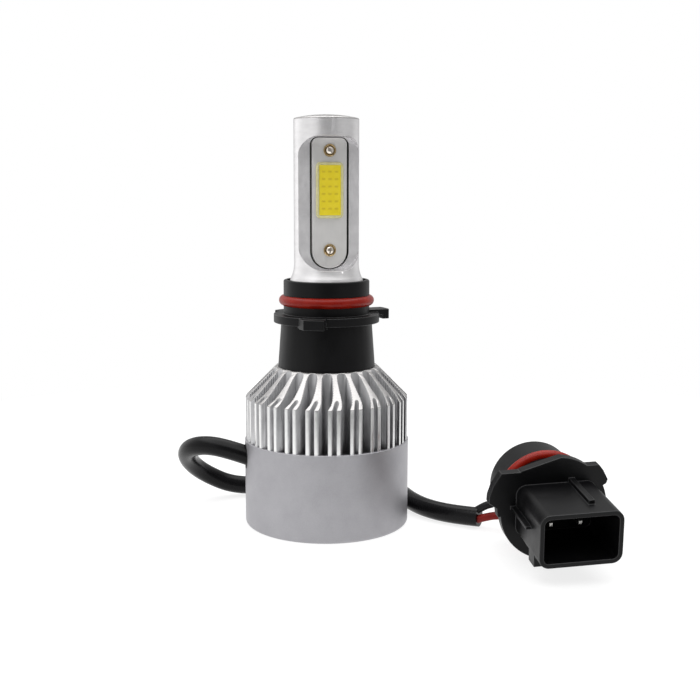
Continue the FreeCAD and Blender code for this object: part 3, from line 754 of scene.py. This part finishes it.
def add_heat_sink(cut, extruded, turned_cone):
    corners, faces, tip_faces, cone_faces = heat_sink_mesh()
    mesh = bpy.data.meshes.new("heat_sink_shape")
    mesh.from_pydata([Vector(c) * MM for c in corners], [], faces)
    for index, polygon in enumerate(mesh.polygons):
        polygon.material_index = 2 if index in cone_faces else 0 if index in tip_faces else 1
    shape = bmesh.new()
    shape.from_mesh(mesh)
    bmesh.ops.remove_doubles(shape, verts=shape.verts, dist=0.001 * MM)
    shape.to_mesh(mesh)
    shape.free()
    smooth(mesh, 40)
    finishes = [cut, extruded, turned_cone]
    add_piece("finned_heat_sink", mesh, finishes, ["heat_sink"])
    core = lathe("heat_sink_core_shape", [(r * MM, z * MM) for r, z in core_outline()], 144)
    smooth(core, 30)
    add_piece("heat_sink_core", core, [cut], [])


# ---------------------------------------------------------------- LED boards

POST_TURN = 10.0
BOARD_FACE = 3.10 * MM
LED_CENTRE_Z = 72.25 * MM
DAM_WIDTH = 5.9 * MM
DAM_HEIGHT = 11.7 * MM
GEL_WIDTH = 4.45 * MM
GEL_HEIGHT = DAM_HEIGHT - DAM_WIDTH + GEL_WIDTH
DAM_RISE = 0.48 * MM
DAM_CORNER = 0.95 * MM
DIE_COLUMNS = 3
DIE_ROWS = 6
DIE_PITCH_X = 1.38 * MM
DIE_PITCH_Z = 1.54 * MM
DIE_HALF_X = 0.42 * MM
DIE_HALF_Z = 0.20 * MM
GEL_RISE = 0.30 * MM
GEL_DRAW = 0.10 * MM
GEL_DRAW_WIDTH = 0.25 * MM
GEL_DIMPLE = 0.035 * MM
GEL_HIGHEST = 0.4 * MM
SCREW_HEIGHTS = (59.7 * MM, 80.5 * MM)
SCREW_TURNS = (12, -38, 30, -15)
SLOT_HALF = 0.15 * MM
SLOT_FLOOR = -0.36 * MM
BUTTON_R = 0.8 * MM


def rounded_rectangle(width, height, corner, steps=8):
    x, z = width / 2 - corner, height / 2 - corner
    points = []
    for centre, start in (((x, z), 0), ((-x, z), 90), ((-x, -z), 180), ((x, -z), 270)):
        points += circle_points(corner, steps, centre, start, 90)
    return points


def dam_mesh(name):
    # A dispensed bead of silicone: half an ellipse in section, swept round the gel.
    bead = (DAM_WIDTH - GEL_WIDTH) / 2
    corners = []
    sections = 9
    for i in range(sections):
        angle = math.pi * i / (sections - 1)
        across = bead / 2 * math.cos(angle)
        rise = DAM_RISE * math.sin(angle) ** 0.8
        width, height = DAM_WIDTH - bead + 2 * across, DAM_HEIGHT - bead + 2 * across
        ring = rounded_rectangle(width, height, DAM_CORNER - bead / 2 + across)
        corners += [(x, -BOARD_FACE - rise, LED_CENTRE_Z + z) for x, z in ring]
    count = len(corners) // sections
    faces = []
    for level in range(sections - 1):
        for i in range(count):
            a, b = level * count + i, level * count + (i + 1) % count
            faces.append((a, b, b + count, a + count))
    return mesh_from(name, corners, faces)


def die_mark(x, z):
    # How strongly a die's dash shows at a point, from 0 to 1.
    strongest = 0.0
    for row in range(DIE_ROWS):
        for column in range(DIE_COLUMNS):
            across = (x - (column - (DIE_COLUMNS - 1) / 2) * DIE_PITCH_X) / DIE_HALF_X
            along = (z - (row - (DIE_ROWS - 1) / 2) * DIE_PITCH_Z) / DIE_HALF_Z
            strongest = max(strongest, math.exp(-(across ** 4) - along ** 2))
    return strongest


def gel_mesh(name):
    # The gel's surface: level, drawn up at the bead, and dimpled over each die.
    columns, rows = 48, 100
    corners = []
    marks = []
    for j in range(rows + 1):
        for i in range(columns + 1):
            x = GEL_WIDTH * 1.04 * (i / columns - 0.5)
            z = GEL_HEIGHT * 1.02 * (j / rows - 0.5)
            mark = die_mark(x, z)
            edge = min(GEL_WIDTH / 2 - abs(x), GEL_HEIGHT / 2 - abs(z))
            draw = GEL_DRAW * math.exp(-max(edge, 0) / GEL_DRAW_WIDTH)
            rise = GEL_RISE + draw - GEL_DIMPLE * mark
            corners.append((x, -BOARD_FACE - min(rise, GEL_HIGHEST), LED_CENTRE_Z + z))
            marks.append(mark)
    faces = []
    for j in range(rows):
        for i in range(columns):
            a = j * (columns + 1) + i
            faces.append((a, a + 1, a + columns + 2, a + columns + 1))
    mesh = mesh_from(name, corners, faces)
    layer = mesh.color_attributes.new("mark", "FLOAT_COLOR", "POINT")
    for item, mark in zip(layer.data, marks):
        item.color = (mark, mark, mark, 1)
    return mesh


def screw_mesh(name):
    # A low domed button inside a raised rim. It faces -Y.
    top = [
        (0.0, 0.70), (0.3, 0.68), (0.55, 0.60), (0.75, 0.46), (0.84, 0.28), (0.90, 0.14),
        (0.97, 0.18), (1.03, 0.32), (1.14, 0.38), (1.26, 0.34), (1.34, 0.22), (1.33, 0.12),
        (1.16, 0),
    ]
    steps = 40
    corners = []
    for step in range(steps):
        angle = 2 * math.pi * step / steps
        corners += [(r * math.cos(angle), -h, r * math.sin(angle)) for r, h in top[1:]]
    corners.append((0, -top[0][1], 0))
    ring = len(top) - 1
    peak = len(corners) - 1
    faces = []
    for step in range(steps):
        ahead = (step + 1) % steps
        faces.append((peak, step * ring, ahead * ring))
        for i in range(ring - 1):
            a, b = step * ring + i, ahead * ring + i
            faces.append((a, a + 1, b + 1, b))
    faces.append([step * ring + ring - 1 for step in range(steps)])
    return mesh_from(name, [Vector(c) * MM for c in corners], faces)


def slotted_screw(slot_turn):
    """A screw head's mesh with a straight slot sunk into it, turned about the screw's axis."""
    shape = bmesh.new()
    shape.from_mesh(screw_mesh("head"))
    for side in (-1, 1):
        bmesh.ops.bisect_plane(
            shape, geom=shape.verts[:] + shape.edges[:] + shape.faces[:],
            plane_co=(side * SLOT_HALF, 0, 0), plane_no=(1, 0, 0),
        )
    inside = []
    for face in shape.faces:
        middle = face.calc_center_median()
        if abs(middle.x) < SLOT_HALF and middle.y < -0.05 * MM:
            inside.append(face)
    sunk = bmesh.ops.extrude_face_region(shape, geom=inside)
    for item in sunk["geom"]:
        if isinstance(item, bmesh.types.BMVert):
            item.co.y = max(item.co.y, SLOT_FLOOR)
    bmesh.ops.delete(shape, geom=[f for f in inside if f.is_valid], context="FACES_ONLY")
    for face in shape.faces:
        middle = face.calc_center_median()
        # The button inside BUTTON_R gets the near-white first finish as a painted highlight on the
        # dome; the rim outside it gets the brass.
        face.material_index = 1 if math.hypot(middle.x, middle.z) > BUTTON_R else 0
    mesh = bpy.data.meshes.new("slotted_head")
    shape.to_mesh(mesh)
    shape.free()
    mesh.transform(Matrix.Rotation(math.radians(slot_turn), 4, "Y"))
    return mesh


def add_led_screws(button_highlight, brass):
    # The first finish is a painted highlight for the domed buttons; the second is the heads' brass.
    places = [(side, height) for side in (POST_TURN, POST_TURN + 180) for height in SCREW_HEIGHTS]
    shape = bmesh.new()
    for (side, height), slot_turn in zip(places, SCREW_TURNS):
        head = slotted_screw(slot_turn)
        head.transform(Matrix.Translation((0, -BOARD_FACE, height)))
        head.transform(Matrix.Rotation(math.radians(side), 4, "Z"))
        shape.from_mesh(head)
    mesh = bpy.data.meshes.new("led_screw_heads")
    shape.to_mesh(mesh)
    shape.free()
    smooth(mesh, 32)
    add_piece("led_screw_heads", mesh, [button_highlight, brass], ["led_board_screws"])


def add_leds(gel, dam, board):
    for side, turn in (("front", POST_TURN), ("rear", POST_TURN + 180)):
        bead = dam_mesh(side + "_dam_bead")
        smooth(bead, 60)
        add_piece(side + "_dam_bead", bead, [dam], [side + "_led_dam"], turn)
        surface = gel_mesh(side + "_gel")
        smooth(surface, 60)
        add_piece(side + "_gel", surface, [gel], [side + "_led_phosphor"], turn)
        node = side + "_led_board"
        add_rounded(node, node + "_plate", [board], 0.09 * MM)


# ---------------------------------------------------------------- post, seal and housings

POCKET_WALL_R = 6.8 * MM
POCKET_LOWEST = 54 * MM
POST_TOP = 86.86 * MM
GROOVE_FLOOR = 2.29 * MM
GROOVE_HALF = 4.6 * MM
# The height range over which the groove beside each board is painted near black as painted shade.
GROOVE_SHADE_LOW = 58.0 * MM
GROOVE_SHADE_HIGH = 82.5 * MM
SEAL_R = 9.15 * MM
SEAL_SECTION_R = 1.1 * MM
SEAL_Z = 48.9 * MM
# The collar's and plug's rounded edges get the lighter edge plastic: a painted highlight along
# them.
HIGHLIT_EDGE_RADIUS = 0.12 * MM
COLLAR_HIGHLIT_BELOW = 47 * MM
PLUG_CENTRE = Vector((0.04282, -0.02987, 0.0108))
PLUG_OUT = Vector((0.0762, -0.9901, -0.1184))
PLUG_HIGHLIT_FROM = -0.8 * MM


def add_post(turned, milled, faced, groove_shade):
    # Each face's finish follows from where it is: the side, the pockets, the top, the grooves. The
    # grooves' straight stretch beside each board is painted near black as painted shade for the
    # narrow gaps.
    finishes = [turned, milled, faced, groove_shade]
    post = add_rounded("lamp_post", "lamp_post_turned", finishes, 0.11 * MM)
    facing = Matrix.Rotation(math.radians(POST_TURN), 3, "Z") @ Vector((0, -1, 0))
    across = facing.cross(Vector((0, 0, 1)))
    for polygon in post.data.polygons:
        middle = polygon.center
        flat = abs(polygon.normal.dot(facing)) > 0.999
        milled_wall = Vector(middle[:2]).length < POCKET_WALL_R and middle.z > POCKET_LOWEST
        depth = abs(middle.dot(facing))
        in_groove = depth < GROOVE_FLOOR and abs(middle.dot(across)) < GROOVE_HALF
        if middle.z > POST_TOP:
            polygon.material_index = 2
        # Painted shade: these groove faces get the near-black aluminium in place of the shade in
        # the gap beside the board.
        elif in_groove and GROOVE_SHADE_LOW < middle.z < GROOVE_SHADE_HIGH:
            polygon.material_index = 3
        else:
            polygon.material_index = 1 if flat or milled_wall else 0


def add_collar_seal(red):
    ring = lathe("collar_seal", circle_points(SEAL_SECTION_R, 28, (SEAL_R, SEAL_Z)), 200)
    smooth(ring, 180)
    add_piece("collar_seal", ring, [red], ["collar_seal_ring"])


def paint_node(name, material):
    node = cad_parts[name]
    node.data.materials.clear()
    node.data.materials.append(material)


# ---------------------------------------------------------------- the whole model

add_camera()
add_floor()
add_studio()

black_plastic = moulded_plastic(
    "black_plastic", (0.0026, 0.0026, 0.0029), (0.0040, 0.0040, 0.0045), 0.36
)
# Edge plastic: its gloss is real, and its colour is several times lighter than the body as a
# painted highlight on the rounded edges.
edge_highlight_plastic = moulded_plastic(
    "edge_highlight_plastic", (0.012, 0.012, 0.013), (0.018, 0.018, 0.019), 0.30, 0.4
)
cable_rubber = rubber("cable_rubber", (0.0022, 0.0022, 0.0025), (0.0040, 0.0040, 0.0045), 0.22)
seal_rubber = rubber("seal_rubber", (0.010, 0.010, 0.010), (0.02, 0.02, 0.02), 0.55)
black_sleeve = rubber("black_sleeve", (0.009, 0.009, 0.010), (0.014, 0.014, 0.015), 0.36)
red_sleeve = rubber("red_sleeve", (0.14, 0.006, 0.005), (0.22, 0.012, 0.008), 0.36)
turned = turned_aluminium()
milled = milled_aluminium()
cut = cut_aluminium("cut_aluminium", (0.84, 0.84, 0.83), (0.93, 0.93, 0.92))
turned_cone = cut_aluminium("turned_cone", (0.40, 0.39, 0.385), (0.52, 0.51, 0.505))
extruded = extruded_aluminium()
blasted = blasted_aluminium()
# Near-black aluminium for the grooves beside the boards: painted shade in the narrow gaps.
groove_shade = cut_aluminium("groove_shade_aluminium", (0.05, 0.048, 0.046), (0.09, 0.086, 0.082))
board = board_aluminium()
red = silicone()
gel = phosphor_gel()
dam = dam_silicone()
brass = plated_metal("brass", (0.34, 0.24, 0.11), (0.56, 0.43, 0.24), 0.24)
# Near-white metal for the screws' domed buttons: a painted highlight.
screw_highlight_metal = plated_metal("screw_highlight_brass", (0.80, 0.72, 0.62), (0.92, 0.88, 0.82), 0.18)
tin = plated_metal("tinned_brass", (0.72, 0.70, 0.66), (0.88, 0.87, 0.84), 0.22)
steel = plated_metal("steel", (0.42, 0.42, 0.43), (0.60, 0.60, 0.61), 0.34)
sintered = plated_metal("sintered_metal", (0.20, 0.18, 0.16), (0.34, 0.31, 0.28), 0.5)
copper = wound_copper()
mask = solder_mask()
component = moulded_plastic("component_black", (0.012, 0.012, 0.012), (0.02, 0.02, 0.02), 0.42)

cable = add_cord("cable", CABLE_ROUTE, CABLE_RADIUS, cable_rubber, "cable_sheath")
black_wire = add_cord(
    "black_plug_wire", BLACK_WIRE_ROUTE, WIRE_RADIUS, black_sleeve, "plug_wire_black"
)
red_wire = add_cord(
    "red_plug_wire", RED_WIRE_ROUTE, WIRE_RADIUS, red_sleeve, "plug_wire_red"
)
add_post(turned, milled, turned_cone, groove_shade)
add_heat_sink(cut, extruded, turned_cone)
add_leds(gel, dam, board)
add_led_screws(screw_highlight_metal, brass)
add_collar_seal(red)
moulded = [black_plastic, edge_highlight_plastic]
add_highlit_edges(
    "collar", "locking_collar", moulded, HIGHLIT_EDGE_RADIUS,
    lambda point: point.z < COLLAR_HIGHLIT_BELOW,
)
plug = add_highlit_edges(
    "plug_housing", "plug_body", moulded, HIGHLIT_EDGE_RADIUS,
    lambda point: (point - PLUG_CENTRE).dot(PLUG_OUT) > PLUG_HIGHLIT_FROM,
)

PAINTED = [
    (blasted, ["fan_housing_band"]),
    (black_plastic, ["fan_guard", "fan_frame", "fan_rotor"]),
    (red, ["plug_seal_ring"]),
    (seal_rubber, ["cable_grommet", "plug_rear_seal"]),
    (red_sleeve, ["lamp_leads_red", "supply_lead_red"]),
    (black_sleeve, ["lamp_leads_black", "supply_lead_black", "fan_leads"]),
    (tin, ["plug_terminals"]),
    (steel, ["fan_guard_screws", "fan_shaft", "shaft_clip", "rotor_yoke", "stator_core",
             "driver_board_screws"]),
    (sintered, ["fan_bearing", "rotor_magnet", "inductor_core"]),
    (copper, ["stator_coils", "inductor_coil"]),
    (mask, ["fan_circuit_board", "driver_board"]),
    (component, ["controller_chip", "capacitors", "chip_resistors"]),
]
for finish_used, names in PAINTED:
    for name in names:
        paint_node(name, finish_used)
